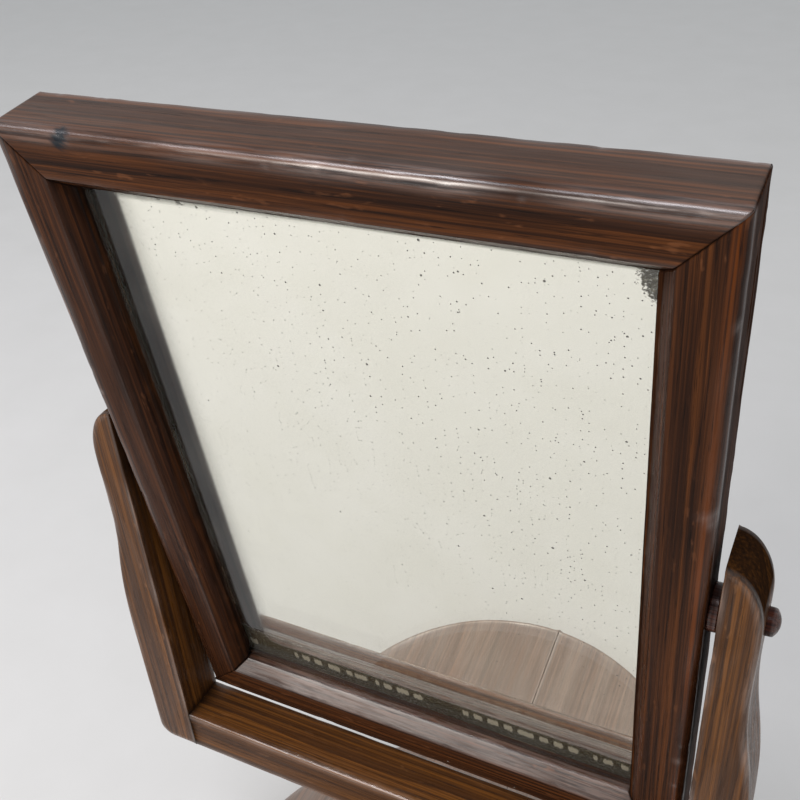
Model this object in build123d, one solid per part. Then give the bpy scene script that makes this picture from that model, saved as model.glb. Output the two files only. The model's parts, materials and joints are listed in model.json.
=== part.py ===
from build123d import *
import math
import os

# Tabletop swing mirror. Millimetres, +Z up, front of the mirror towards -Y.
# The origin is on the table, under the centre of the round base.

# ---- Driving dimensions ----

# swinging frame, in its own frame: u across, w back from the front face, v up from the bottom edge
FRAME_WIDTH = 300.0
FRAME_HEIGHT = 389.0
FRAME_DEPTH = 32.8
STILE_FACE = 21.2
TOP_RAIL_FACE = 22.2
BOTTOM_RAIL_FACE = 20.5
BEVEL_WIDTH = 7.0
BEVEL_DEPTH = 8.0
LIP_DEPTH = 12.0
FRONT_EDGE_RADIUS = 4.5
LOWER_EDGE_RADIUS = 1.2
BACK_EDGE_RADIUS = 1.6
FRAME_CORNER_RADIUS = 1.4
GLASS_REBATE = 6.0
PANEL_REBATE = 14.0
PANEL_THICKNESS = 6.0
GLASS_THICKNESS = 6.0
GLASS_GAP = 1.5
SILVER_THICKNESS = 0.2
PAPER_THICKNESS = 0.4

# pivot
TILT = 7.6
PIVOT_HEIGHT = 401.0
PIVOT_V = 189.6
PIVOT_W = FRAME_DEPTH / 2
PEG_RADIUS = 6.3
PEG_RUNNING_GAP = 0.05
PEG_IN_STILE = 17.0
PEG_PROJECTION = 5.6
PEG_DOME = 2.6
COLLAR_RADIUS = 10.8
COLLAR_THICKNESS = 4.4

# yoke
YOKE_INSIDE = 309.4
YOKE_DEPTH = 31.2
POST_TOP_HEIGHT = 435.5
POST_TOP_THICKNESS = 18.3
POST_FOOT_THICKNESS = 27.6
POST_SHOULDER_DROP = 31.5
POST_OGEE_TOP = 372.0
POST_OGEE_MIDDLE = 330.0
POST_OGEE_BOTTOM = 260.0
POST_FOOT_RADIUS = 10.0
EDGE_SOFTENING = 1.4
JOINT_SOFTENING = 0.5
RAIL_TOP_HEIGHT = 200.6
RAIL_HEIGHT = 29.2
RAIL_DOWEL_RADIUS = 4.0
RAIL_DOWEL_LENGTH = 40.0
RAIL_DOWEL_IN_POST = 16.0
RAIL_DOWEL_SPREAD = 8.0

# base
BASE_RADIUS = 157.5
BASE_THICKNESS = 20.0
BASE_TOP_EDGE = 4.0
BASE_BOTTOM_EDGE = 2.5
BASE_JOINT_X = 8.0
BASE_DOWEL_RADIUS = 4.0
BASE_DOWEL_LENGTH = 36.0
BASE_DOWEL_Y = (-115.0, -50.0, 50.0, 115.0)
BATTEN_LENGTH = 220.0
BATTEN_WIDTH = 26.0
BATTEN_HEIGHT = 8.0
BATTEN_Y = 85.0
BATTEN_SCREW_X = (-74.0, -28.0, 28.0, 74.0)
PAD_RADIUS = 11.0
PAD_HEIGHT = 2.0
PAD_X = 96.0

# column, a turning: radii, and heights above the base
COLUMN_FOOT_RADIUS = 32.0
COLUMN_FOOT_HEIGHT = 8.0
COLUMN_COVE_RADIUS = 26.0
COLUMN_NECK_RADIUS = 11.5
COLUMN_VASE_RADIUS = 19.5
COLUMN_CAP_RADIUS = 15.4
LOWER_BEAD_HEIGHT = 25.0
VASE_MIDDLE_HEIGHT = 54.0
UPPER_BEAD_HEIGHT = 107.0
CAP_HEIGHT = 129.0
BEAD_LENGTH = 6.0
BEAD_SWELL = 2.8
COLUMN_TENON_RADIUS = 8.0
COLUMN_TENON_LENGTH = 15.0
COLUMN_SCREW_CIRCLE = 15.0
COLUMN_SCREW_ANGLES = (90.0, 210.0, 330.0)

# screws: shank radius, head radius, length
PANEL_SCREW = (1.3, 2.8, 14.0)
BATTEN_SCREW = (1.7, 3.6, 17.0)
COLUMN_SCREW = (2.4, 4.8, 30.0)
SLOT_WIDTH = 0.8

# ---- Derived sizes ----

SIGHT_SIDE = STILE_FACE + BEVEL_WIDTH
SIGHT_TOP = TOP_RAIL_FACE + BEVEL_WIDTH
SIGHT_BOTTOM = BOTTOM_RAIL_FACE + BEVEL_WIDTH
PANEL_W = FRAME_DEPTH - PANEL_THICKNESS
GLASS_BACK = LIP_DEPTH + GLASS_THICKNESS
SILVER_BACK = GLASS_BACK + SILVER_THICKNESS
PAPER_BACK = SILVER_BACK + PAPER_THICKNESS
POST_INSIDE = YOKE_INSIDE / 2
RAIL_BOTTOM_HEIGHT = RAIL_TOP_HEIGHT - RAIL_HEIGHT
BATTEN_TOP = PAD_HEIGHT + BATTEN_HEIGHT
BASE_TOP = BATTEN_TOP + BASE_THICKNESS
COLUMN_HEIGHT = RAIL_BOTTOM_HEIGHT - BASE_TOP
OVERSHOOT = 1.0

NODES = {}


def opening(margin, w_from, w_to):
    """Block that fills the frame's opening, widened by margin beyond the sight edges."""
    left = -FRAME_WIDTH / 2 + SIGHT_SIDE - margin
    right = FRAME_WIDTH / 2 - SIGHT_SIDE + margin
    low = SIGHT_BOTTOM - margin
    high = FRAME_HEIGHT - SIGHT_TOP + margin
    size = (right - left, w_to - w_from, high - low)
    return Pos((left + right) / 2, (w_from + w_to) / 2, (low + high) / 2) * Box(*size)


def opening_face(margin, w):
    """Rectangle of the opening at depth w, facing back, widened by margin."""
    width = FRAME_WIDTH - 2 * SIGHT_SIDE + 2 * margin
    height = FRAME_HEIGHT - SIGHT_TOP - SIGHT_BOTTOM + 2 * margin
    middle = (SIGHT_BOTTOM + FRAME_HEIGHT - SIGHT_TOP) / 2
    return Plane(origin=(0, w, middle), x_dir=(1, 0, 0), z_dir=(0, -1, 0)) * Rectangle(width, height)


def placed(shape):
    """Move a shape from the frame's own axes to its place on the stand, at the rest tilt."""
    return Pos(0, 0, PIVOT_HEIGHT) * Rot(TILT, 0, 0) * Pos(0, -PIVOT_W, -PIVOT_V) * shape


def edges_on(shape, axis, value):
    """Edges that lie wholly in the plane where the given axis has the given value."""
    return shape.edges().filter_by_position(axis, value - 0.01, value + 0.01)


def screw(shank, head, length):
    """Countersunk wood screw pointing up from the origin, its slotted head flush at z = 0."""
    cone = head - shank
    tip = shank * 2
    outline = Polyline(
        (0, 0), (head, 0), (shank, cone), (shank, length - tip), (0, length), close=True
    )
    body = revolve(Plane.XZ * make_face(outline), Axis.Z)
    slot = Box(2 * head + OVERSHOOT, SLOT_WIDTH, cone)
    return body - slot


def screw_hole(shank, head, length):
    """Hole that the screw fills, with its countersink."""
    cone = head - shank
    tip = shank * 2
    outline = Polyline(
        (0, -OVERSHOOT), (head, -OVERSHOOT), (head, 0), (shank, cone),
        (shank, length - tip), (0, length), close=True
    )
    return revolve(Plane.XZ * make_face(outline), Axis.Z)


def corner_places():
    """Centre and diagonal direction of each mitre, in the frame's own axes."""
    inset = 12.0
    across = FRAME_WIDTH / 2 - inset
    top = FRAME_HEIGHT - inset
    return [(-across, inset, 45), (across, inset, 135), (across, top, 225), (-across, top, 315)]


def mitre_tongues():
    """Four loose tongues, one across each mitre."""
    along, thick, across = 12.0, 4.0, 14.0
    return [Pos(u, PIVOT_W, v) * Rot(0, -angle, 0) * Box(along, thick, across)
            for u, v, angle in corner_places()]


def panel_screw_places():
    """Where the back panel is screwed to the ledge around the opening."""
    ledge = (GLASS_REBATE + PANEL_REBATE) / 2
    side = FRAME_WIDTH / 2 - SIGHT_SIDE + ledge
    low = SIGHT_BOTTOM - ledge
    high = FRAME_HEIGHT - SIGHT_TOP + ledge
    places = [(sign * side, v) for sign in (-1, 1) for v in (70.0, FRAME_HEIGHT - 70.0)]
    places += [(sign * 70.0, v) for sign in (-1, 1) for v in (low, high)]
    return places


def at_panel(shape):
    """The shape at each panel screw place, pointing forward from the frame's back face."""
    return [Pos(u, FRAME_DEPTH, v) * Rot(90, 0, 0) * shape for u, v in panel_screw_places()]


def frame_blank():
    """The whole frame before it is cut at the mitres."""
    body = Pos(0, FRAME_DEPTH / 2, FRAME_HEIGHT / 2) * Box(FRAME_WIDTH, FRAME_DEPTH, FRAME_HEIGHT)
    upper_corners = body.edges().filter_by(Axis.Y).sort_by(Axis.Z)[2:]
    body = fillet(upper_corners, FRAME_CORNER_RADIUS)
    sides_and_top = edges_on(body, Axis.Y, 0).sort_by(Axis.Z)[1:]
    body = fillet(sides_and_top, FRONT_EDGE_RADIUS)
    lower_front = edges_on(body, Axis.Z, 0).sort_by(Axis.Y)[0]
    body = fillet(lower_front, LOWER_EDGE_RADIUS)
    body = fillet(edges_on(body, Axis.Y, FRAME_DEPTH), BACK_EDGE_RADIUS)
    lead = OVERSHOOT * BEVEL_WIDTH / BEVEL_DEPTH
    bevel = loft([opening_face(BEVEL_WIDTH + lead, -OVERSHOOT), opening_face(0, BEVEL_DEPTH)])
    body -= bevel
    body -= opening(0, BEVEL_DEPTH - OVERSHOOT, FRAME_DEPTH)
    body -= opening(GLASS_REBATE, LIP_DEPTH, FRAME_DEPTH + OVERSHOOT)
    body -= opening(PANEL_REBATE, PANEL_W, FRAME_DEPTH + OVERSHOOT)
    for tongue in mitre_tongues():
        body -= tongue
    for hole in at_panel(screw_hole(*PANEL_SCREW)):
        body -= hole
    bore_depth = PEG_IN_STILE + OVERSHOOT
    for sign in (-1, 1):
        centre = sign * (FRAME_WIDTH / 2 + OVERSHOOT - bore_depth / 2)
        body -= Pos(centre, PIVOT_W, PIVOT_V) * Rot(0, 90, 0) * Cylinder(PEG_RADIUS, bore_depth)
    return body


def mitre_wedges():
    """Prism around each member, bounded by the mitre lines from outer to inner corner."""
    reach = 60.0
    side = FRAME_WIDTH / 2
    inner = side - reach
    top_in = FRAME_HEIGHT - reach * TOP_RAIL_FACE / STILE_FACE
    low_in = reach * BOTTOM_RAIL_FACE / STILE_FACE
    outlines = {
        "frame_top_rail": [(-side, FRAME_HEIGHT), (side, FRAME_HEIGHT), (inner, top_in), (-inner, top_in)],
        "frame_bottom_rail": [(-side, 0), (side, 0), (inner, low_in), (-inner, low_in)],
        "frame_left_stile": [(-side, 0), (-side, FRAME_HEIGHT), (-inner, top_in), (-inner, low_in)],
        "frame_right_stile": [(side, 0), (side, FRAME_HEIGHT), (inner, top_in), (inner, low_in)],
    }
    plane = Plane(origin=(0, -OVERSHOOT, 0), x_dir=(1, 0, 0), z_dir=(0, -1, 0))
    depth = FRAME_DEPTH + 2 * OVERSHOOT
    return {name: extrude(plane * make_face(Polyline(*points, close=True)), -depth)
            for name, points in outlines.items()}


def make_frame():
    """Mitred members, their tongues and everything the frame holds."""
    blank = frame_blank()
    for name, wedge in mitre_wedges().items():
        NODES[name] = placed(blank & wedge)
    NODES["mitre_tongues"] = placed(Compound(children=mitre_tongues()))

    play = GLASS_REBATE - GLASS_GAP
    NODES["mirror_glass"] = placed(opening(play, LIP_DEPTH, GLASS_BACK))
    NODES["mirror_silvering"] = placed(opening(play, GLASS_BACK, SILVER_BACK))
    NODES["backing_paper"] = placed(opening(play, SILVER_BACK, PAPER_BACK))

    panel = opening(PANEL_REBATE - 0.4, PANEL_W, FRAME_DEPTH)
    panel = chamfer(edges_on(panel, Axis.Y, FRAME_DEPTH), 0.8)
    for hole in at_panel(screw_hole(*PANEL_SCREW)):
        panel -= hole
    NODES["back_panel"] = placed(panel)
    screws = at_panel(screw(*PANEL_SCREW))
    NODES["back_panel_screws"] = placed(Compound(children=screws))


def make_glazing_blocks():
    """Ten wedge blocks glued round the rebate, which press the glass against the lip."""
    length, foot, rise = 34.0, 5.5, 8.0
    wedge_outline = Polyline((0, 0), (foot, 0), (0, rise), close=True)
    wedge = extrude(make_face(wedge_outline), length / 2, both=True)
    side = FRAME_WIDTH / 2 - SIGHT_SIDE + GLASS_REBATE
    low = SIGHT_BOTTOM - GLASS_REBATE
    high = FRAME_HEIGHT - SIGHT_TOP + GLASS_REBATE
    middle = (low + high) / 2
    blocks = []
    for v in (middle - 110, middle, middle + 110):
        blocks.append(Pos(-side, PAPER_BACK, v) * wedge)
        blocks.append(Pos(side, PAPER_BACK, v) * Rot(0, 180, 0) * wedge)
    for u in (-60, 60):
        blocks.append(Pos(u, PAPER_BACK, low) * Rot(0, -90, 0) * wedge)
        blocks.append(Pos(u, PAPER_BACK, high) * Rot(0, 90, 0) * wedge)
    NODES["glazing_blocks"] = placed(Compound(children=blocks))


def make_pivots():
    """Pegs glued into the stiles, each with a collar, turning in the bores of the uprights."""
    peg_outside = POST_INSIDE + POST_TOP_THICKNESS + PEG_PROJECTION
    peg_inside = FRAME_WIDTH / 2 - PEG_IN_STILE
    shaft = peg_outside - PEG_DOME - peg_inside
    dome_radius = (PEG_RADIUS ** 2 + PEG_DOME ** 2) / (2 * PEG_DOME)
    outline = Line((0, 0), (PEG_RADIUS, 0))
    outline += Line((PEG_RADIUS, 0), (PEG_RADIUS, shaft))
    outline += RadiusArc((PEG_RADIUS, shaft), (0, shaft + PEG_DOME), -dome_radius)
    outline += Line((0, shaft + PEG_DOME), (0, 0))
    peg = revolve(Plane.XZ * make_face(outline), Axis.Z)
    ring = Cylinder(COLLAR_RADIUS, COLLAR_THICKNESS)
    ring = fillet(ring.edges().filter_by(GeomType.CIRCLE), 0.6)
    ring -= Cylinder(PEG_RADIUS, 2 * COLLAR_THICKNESS)
    for name, sign in (("left", -1), ("right", 1)):
        turn = Rot(0, sign * 90, 0)
        NODES[name + "_pivot_peg"] = Pos(sign * peg_inside, 0, PIVOT_HEIGHT) * turn * peg
        collar_x = sign * (FRAME_WIDTH + COLLAR_THICKNESS) / 2
        NODES[name + "_collar"] = Pos(collar_x, 0, PIVOT_HEIGHT) * turn * ring


def post_face():
    """Front view of the right upright: flat inside, quarter-round top, ogee swell to the foot."""
    inside = POST_INSIDE
    neck = inside + POST_TOP_THICKNESS
    foot = inside + POST_FOOT_THICKNESS
    shoulder = POST_TOP_HEIGHT - POST_SHOULDER_DROP
    bottom = RAIL_BOTTOM_HEIGHT
    outline = Line((inside, bottom), (inside, POST_TOP_HEIGHT))
    outline += EllipticalCenterArc(
        (inside, shoulder), POST_TOP_THICKNESS, POST_SHOULDER_DROP, start_angle=0, arc_size=90
    )
    outline += Line((neck, shoulder), (neck, POST_OGEE_TOP))
    outline += Bezier(
        (neck, POST_OGEE_TOP), (neck, POST_OGEE_MIDDLE),
        (foot, POST_OGEE_MIDDLE), (foot, POST_OGEE_BOTTOM)
    )
    outline += Line((foot, POST_OGEE_BOTTOM), (foot, bottom + POST_FOOT_RADIUS))
    outline += CenterArc(
        (foot - POST_FOOT_RADIUS, bottom + POST_FOOT_RADIUS), POST_FOOT_RADIUS, 0, -90
    )
    outline += Line((foot - POST_FOOT_RADIUS, bottom), (inside, bottom))
    return make_face(outline)


def rail_dowel_places(sign):
    """Centres of the two dowels in one end joint of the cross rail."""
    x = sign * (POST_INSIDE + RAIL_DOWEL_IN_POST - RAIL_DOWEL_LENGTH / 2)
    z = RAIL_TOP_HEIGHT - RAIL_HEIGHT / 2
    return [Pos(x, side * RAIL_DOWEL_SPREAD, z) * Rot(0, 90, 0) for side in (-1, 1)]


def make_yoke():
    """Two uprights dowelled to the ends of the cross rail."""
    post = extrude(Plane.XZ * post_face(), YOKE_DEPTH / 2, both=True)
    outline = edges_on(post, Axis.Y, -YOKE_DEPTH / 2) + edges_on(post, Axis.Y, YOKE_DEPTH / 2)
    inner = outline.filter_by_position(Axis.X, POST_INSIDE - 0.01, POST_INSIDE + 0.01)
    outer = [edge for edge in outline if edge not in inner]
    post = fillet(outer, EDGE_SOFTENING)
    inner = post.edges().filter_by(Axis.Z).filter_by_position(Axis.X, POST_INSIDE - 0.01, POST_INSIDE + 0.01)
    post = fillet(inner, JOINT_SOFTENING)
    bore = Pos(POST_INSIDE, 0, PIVOT_HEIGHT) * Rot(0, 90, 0) * Cylinder(
        PEG_RADIUS + PEG_RUNNING_GAP, 3 * POST_TOP_THICKNESS
    )
    post -= bore
    rail = Pos(0, 0, RAIL_TOP_HEIGHT - RAIL_HEIGHT / 2) * Box(YOKE_INSIDE, YOKE_DEPTH, RAIL_HEIGHT)
    rail = fillet(rail.edges().filter_by(Axis.X), EDGE_SOFTENING)
    dowel = Cylinder(RAIL_DOWEL_RADIUS, RAIL_DOWEL_LENGTH)
    dowel = chamfer(dowel.edges().filter_by(GeomType.CIRCLE), 0.8)
    posts = {"right": post, "left": mirror(post, Plane.YZ)}
    for name, sign in (("left", -1), ("right", 1)):
        pair = [place * dowel for place in rail_dowel_places(sign)]
        upright = posts[name]
        for pin in pair:
            upright -= pin
            rail -= pin
        NODES[name + "_upright"] = upright
        NODES[name + "_rail_dowels"] = Compound(children=pair)
    tenon_socket = Pos(0, 0, RAIL_BOTTOM_HEIGHT - OVERSHOOT) * Cylinder(
        COLUMN_TENON_RADIUS, COLUMN_TENON_LENGTH + OVERSHOOT,
        align=(Align.CENTER, Align.CENTER, Align.MIN)
    )
    NODES["cross_rail"] = rail - tenon_socket


def column_screws():
    """Where the column's screws go up through the base."""
    places = []
    for angle in COLUMN_SCREW_ANGLES:
        x = COLUMN_SCREW_CIRCLE * math.cos(math.radians(angle))
        y = COLUMN_SCREW_CIRCLE * math.sin(math.radians(angle))
        places.append(Pos(x, y, BATTEN_TOP))
    return places


def bead(low, radius, length, swell):
    """Round bead on the column's outline."""
    return ThreePointArc((radius, low), (radius + swell, low + length / 2), (radius, low + length))


def curve_between(low, low_radius, high, high_radius):
    """Smooth curve on the column's outline, upright at both its ends."""
    middle = (low + high) / 2
    return Bezier((low_radius, low), (low_radius, middle), (high_radius, middle), (high_radius, high))


def make_column():
    """Turned column: a wide foot, a cove, a vase between two beads, and a cap under the rail."""
    top = COLUMN_HEIGHT
    tenon_top = top + COLUMN_TENON_LENGTH
    lower = LOWER_BEAD_HEIGHT + BEAD_LENGTH
    upper = UPPER_BEAD_HEIGHT + BEAD_LENGTH
    cove_lip = COLUMN_FOOT_HEIGHT + 2
    outline = Line((0, 0), (COLUMN_FOOT_RADIUS, 0))
    outline += bead(0, COLUMN_FOOT_RADIUS, COLUMN_FOOT_HEIGHT, 2.0)
    outline += Line((COLUMN_FOOT_RADIUS, COLUMN_FOOT_HEIGHT), (COLUMN_COVE_RADIUS, COLUMN_FOOT_HEIGHT))
    outline += Line((COLUMN_COVE_RADIUS, COLUMN_FOOT_HEIGHT), (COLUMN_COVE_RADIUS, cove_lip))
    outline += Bezier(
        (COLUMN_COVE_RADIUS, cove_lip), (COLUMN_COVE_RADIUS - 10, cove_lip + 1),
        (COLUMN_NECK_RADIUS, cove_lip + 6), (COLUMN_NECK_RADIUS, LOWER_BEAD_HEIGHT)
    )
    outline += bead(LOWER_BEAD_HEIGHT, COLUMN_NECK_RADIUS, BEAD_LENGTH, BEAD_SWELL)
    outline += curve_between(lower, COLUMN_NECK_RADIUS, VASE_MIDDLE_HEIGHT, COLUMN_VASE_RADIUS)
    outline += curve_between(VASE_MIDDLE_HEIGHT, COLUMN_VASE_RADIUS, UPPER_BEAD_HEIGHT, COLUMN_NECK_RADIUS)
    outline += bead(UPPER_BEAD_HEIGHT, COLUMN_NECK_RADIUS, BEAD_LENGTH, BEAD_SWELL)
    outline += curve_between(upper, COLUMN_NECK_RADIUS, CAP_HEIGHT, COLUMN_CAP_RADIUS)
    outline += Polyline(
        (COLUMN_CAP_RADIUS, CAP_HEIGHT), (COLUMN_CAP_RADIUS, top), (COLUMN_TENON_RADIUS, top),
        (COLUMN_TENON_RADIUS, tenon_top), (0, tenon_top), (0, 0)
    )
    column = Pos(0, 0, BASE_TOP) * revolve(Plane.XZ * make_face(outline), Axis.Z)
    for place in column_screws():
        column -= place * screw_hole(*COLUMN_SCREW)
    NODES["column"] = column
    NODES["column_screws"] = Compound(children=[place * screw(*COLUMN_SCREW) for place in column_screws()])


def make_base():
    """Round base of two boards, with dowels across the joint, battens, screws and pads."""
    disc = Pos(0, 0, BATTEN_TOP + BASE_THICKNESS / 2) * Cylinder(BASE_RADIUS, BASE_THICKNESS)
    disc = fillet(edges_on(disc, Axis.Z, BASE_TOP), BASE_TOP_EDGE)
    disc = fillet(edges_on(disc, Axis.Z, BATTEN_TOP), BASE_BOTTOM_EDGE)
    dowel = Rot(0, 90, 0) * Cylinder(BASE_DOWEL_RADIUS, BASE_DOWEL_LENGTH)
    dowels = [Pos(BASE_JOINT_X, y, BATTEN_TOP + BASE_THICKNESS / 2) * dowel for y in BASE_DOWEL_Y]
    screw_places = [Pos(x, sign * BATTEN_Y, PAD_HEIGHT) for sign in (-1, 1) for x in BATTEN_SCREW_X]
    for pin in dowels:
        disc -= pin
    for place in screw_places:
        disc -= place * screw_hole(*BATTEN_SCREW)
    for place in column_screws():
        disc -= place * screw_hole(*COLUMN_SCREW)
    half = Box(2 * BASE_RADIUS, 2 * BASE_RADIUS + OVERSHOOT, 4 * BASE_TOP)
    NODES["left_base_board"] = disc & (Pos(BASE_JOINT_X - BASE_RADIUS, 0, 0) * half)
    NODES["right_base_board"] = disc & (Pos(BASE_JOINT_X + BASE_RADIUS, 0, 0) * half)
    NODES["base_dowels"] = Compound(children=dowels)

    batten = Box(BATTEN_LENGTH, BATTEN_WIDTH, BATTEN_HEIGHT)
    batten = fillet(batten.edges().filter_by(Axis.Z), BATTEN_WIDTH / 3)
    batten = chamfer(edges_on(batten, Axis.Z, -BATTEN_HEIGHT / 2), 1.0)
    pad = Cylinder(PAD_RADIUS, PAD_HEIGHT, align=(Align.CENTER, Align.CENTER, Align.MIN))
    for name, sign in (("front", -1), ("rear", 1)):
        bar = Pos(0, sign * BATTEN_Y, PAD_HEIGHT + BATTEN_HEIGHT / 2) * batten
        for place in screw_places:
            bar -= place * screw_hole(*BATTEN_SCREW)
        NODES[name + "_batten"] = bar
    NODES["batten_screws"] = Compound(children=[place * screw(*BATTEN_SCREW) for place in screw_places])
    corners = [(x, y) for x in (-PAD_X, PAD_X) for y in (-BATTEN_Y, BATTEN_Y)]
    NODES["felt_pads"] = Compound(children=[Pos(x, y, 0) * pad for x, y in corners])


make_frame()
make_glazing_blocks()
make_pivots()
make_yoke()
make_column()
make_base()

os.makedirs("parts", exist_ok=True)
for name, shape in NODES.items():
    export_step(shape, "parts/" + name + ".step")
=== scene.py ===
import itertools
import json
import math
from types import SimpleNamespace

import bpy
import bmesh
import numpy as np
from mathutils import Matrix, Vector


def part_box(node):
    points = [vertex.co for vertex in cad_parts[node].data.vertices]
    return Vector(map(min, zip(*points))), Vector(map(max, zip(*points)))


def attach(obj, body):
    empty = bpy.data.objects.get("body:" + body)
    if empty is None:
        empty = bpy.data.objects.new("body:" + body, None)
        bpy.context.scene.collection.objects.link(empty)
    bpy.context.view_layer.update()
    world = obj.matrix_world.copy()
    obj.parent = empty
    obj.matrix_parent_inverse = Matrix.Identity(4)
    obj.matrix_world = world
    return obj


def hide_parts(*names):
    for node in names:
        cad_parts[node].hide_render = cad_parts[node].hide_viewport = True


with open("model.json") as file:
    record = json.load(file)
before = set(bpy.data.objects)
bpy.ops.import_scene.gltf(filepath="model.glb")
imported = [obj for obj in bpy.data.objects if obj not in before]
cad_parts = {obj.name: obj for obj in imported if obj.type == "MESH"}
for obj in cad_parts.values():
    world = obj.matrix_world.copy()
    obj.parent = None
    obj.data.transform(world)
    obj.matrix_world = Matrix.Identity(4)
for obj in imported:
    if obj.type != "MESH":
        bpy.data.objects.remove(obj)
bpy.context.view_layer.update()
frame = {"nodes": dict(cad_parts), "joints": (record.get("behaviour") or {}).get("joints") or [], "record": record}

# Tabletop swing mirror in dark oak. Shapes are worked out in millimetres, in each piece's own axes:
# the grain runs along X, and the heart of the tree that the wood came from is the X axis itself.
MM = 0.001

# ---- Sizes ----

TILT = math.radians(7.6)
FRAME_WIDTH, FRAME_HEIGHT, FRAME_DEPTH = 300.0, 389.0, 32.8
STILE_FACE, TOP_RAIL_FACE, BOTTOM_RAIL_FACE = 21.2, 22.2, 20.5
BEVEL_WIDTH, BEVEL_DEPTH, LIP_DEPTH = 7.0, 8.0, 12.0
FRONT_EDGE, LOWER_EDGE, BACK_EDGE, FRAME_CORNER = 4.5, 1.2, 1.6, 1.8
GLASS_REBATE, GLASS_PLAY = 6.0, 1.5
PANEL_REBATE, PANEL_THICKNESS = 14.0, 6.0
GLASS_BACK, SILVER_BACK, SILVER_GAP = 18.0, 18.2, 0.05
PIVOT_V = 189.6
PEG_RADIUS, PEG_DOME, BORE_RADIUS = 6.3, 2.6, 6.6
PEG_IN_STILE = 17.0
BORE_OVERRUN = 5.0
COLLAR_RADIUS = 10.8
POST_TOP_THICKNESS, POST_FOOT_THICKNESS = 18.3, 27.6
POST_SHOULDER_DROP = 31.5
OGEE_TOP, OGEE_MIDDLE, OGEE_BOTTOM = 372.0, 330.0, 260.0
POST_FOOT_RADIUS = 10.0
BASE_TOP_EDGE, BASE_BOTTOM_EDGE, BASE_JOINT_GAP = 4.0, 2.5, 0.04
RAIL_EDGE = 1.5
PAD_RADIUS = 11.0
MITRE_GAP = 0.06
MITRE_VEE = 0.35
# lengths that the meshes are divided into
STEP, FINE_STEP, BASE_STEP, GLASS_STEP, SILVER_STEP = 2.4, 1.5, 4.0, 10.0, 1.4
ARC_STEP = 11
# how far wear spreads from an edge over the flat beside it
WEAR_FADE = 1.4
# the two rings just inside the rim of a slab's face: how far in, and how near to the worn edge
CAP_RINGS = ((2.5, 0.15), (0.6, 0.7))
WELD = 1e-6
SHARP_EDGE = math.radians(38)


def low(node):
    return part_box(node)[0] / MM


def high(node):
    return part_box(node)[1] / MM


PIVOT = Vector(frame["joints"][0]["pos_m"]) / MM
POST_INSIDE = low("right_upright").x
POST_BOTTOM, POST_TOP = low("right_upright").z, high("right_upright").z
YOKE_DEPTH = high("right_upright").y - low("right_upright").y
RAIL_TOP = high("cross_rail").z
BASE_BOTTOM, BASE_TOP = low("left_base_board").z, high("left_base_board").z
BASE_RADIUS = high("left_base_board").y
BASE_JOINT_X = high("left_base_board").x
SIGHT_SIDE = STILE_FACE + BEVEL_WIDTH
SIGHT_TOP = TOP_RAIL_FACE + BEVEL_WIDTH
SIGHT_BOTTOM = BOTTOM_RAIL_FACE + BEVEL_WIDTH

behaviour = frame["record"]["behaviour"]
BODY_OF = {node: body for body, nodes in behaviour["bodies"].items() for node in nodes}
SLOT_OF = {part["node"]: part["material_slot"] for part in frame["record"]["subparts"]}


# ---- Random fields ----

def noise(points, size, seed):
    """Smooth random values from -1 to 1 at the points, with features of the given size."""
    cells = 32
    table = np.random.default_rng(seed).uniform(-1, 1, (cells, cells, cells))
    cell = np.asarray(points, float) / size
    base = np.floor(cell).astype(int)
    part = cell - base
    part = part * part * (3 - 2 * part)
    total = np.zeros(len(cell))
    for corner in itertools.product((0, 1), repeat=3):
        index = (base + corner) % cells
        weight = np.where(np.array(corner) == 1, part, 1 - part).prod(axis=1)
        total += table[index[:, 0], index[:, 1], index[:, 2]] * weight
    return total


def bumps(points, centres, radii):
    """Sum of soft round bumps, each 1 at its centre."""
    total = np.zeros(len(points))
    for centre, radius in zip(centres, radii):
        squared = ((points - np.array(centre)) ** 2).sum(axis=1)
        total += np.exp(-squared / radius ** 2)
    return total


def nicks(points, edge_points, seed, count, smallest, largest):
    """Depth at the points of random nicks, struck along the edges."""
    random = np.random.default_rng(seed)
    struck = edge_points[random.integers(len(edge_points), size=count)]
    return bumps(points, struck, random.uniform(smallest, largest, count))


def smooth_step(values, start, end):
    part = np.clip((values - start) / (end - start), 0, 1)
    return part * part * (3 - 2 * part)


# ---- Outlines ----

def towards(point, other):
    return (other - point) / np.linalg.norm(other - point)


def corner_arc(corner, before, after, radius):
    """Arc that rounds a corner, from the unit directions to the corners on either side of it."""
    half = math.acos(np.clip(before @ after, -1, 1)) / 2
    middle = (before + after) / np.linalg.norm(before + after)
    centre = corner + middle * radius / math.sin(half)
    start = corner + before * radius / math.tan(half) - centre
    turn = math.pi - 2 * half
    side = math.copysign(1, start[0] * middle[1] - start[1] * middle[0])
    count = max(3, math.ceil(math.degrees(turn) / ARC_STEP))
    arc = []
    for k in range(count + 1):
        angle = -side * turn * k / count
        c, s = math.cos(angle), math.sin(angle)
        arc.append(centre + (c * start[0] - s * start[1], s * start[0] + c * start[1]))
    return arc


def divided(points, edges, step):
    """Outline with its long stretches cut into steps, worn less and less away from an edge."""
    full, worn = [], []
    for i, (a, edge) in enumerate(zip(points, edges)):
        b, next_edge = points[(i + 1) % len(points)], edges[(i + 1) % len(points)]
        length = np.linalg.norm(b - a)
        count = max(1, round(length / step)) if length > 1.3 * step else 1
        for k in range(count):
            along = length * k / count
            ahead = next_edge * math.exp((along - length) / WEAR_FADE)
            full.append(a + (b - a) * k / count)
            worn.append(max(edge * math.exp(-along / WEAR_FADE), ahead) if k else edge)
    return np.array(full), np.array(worn)


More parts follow.
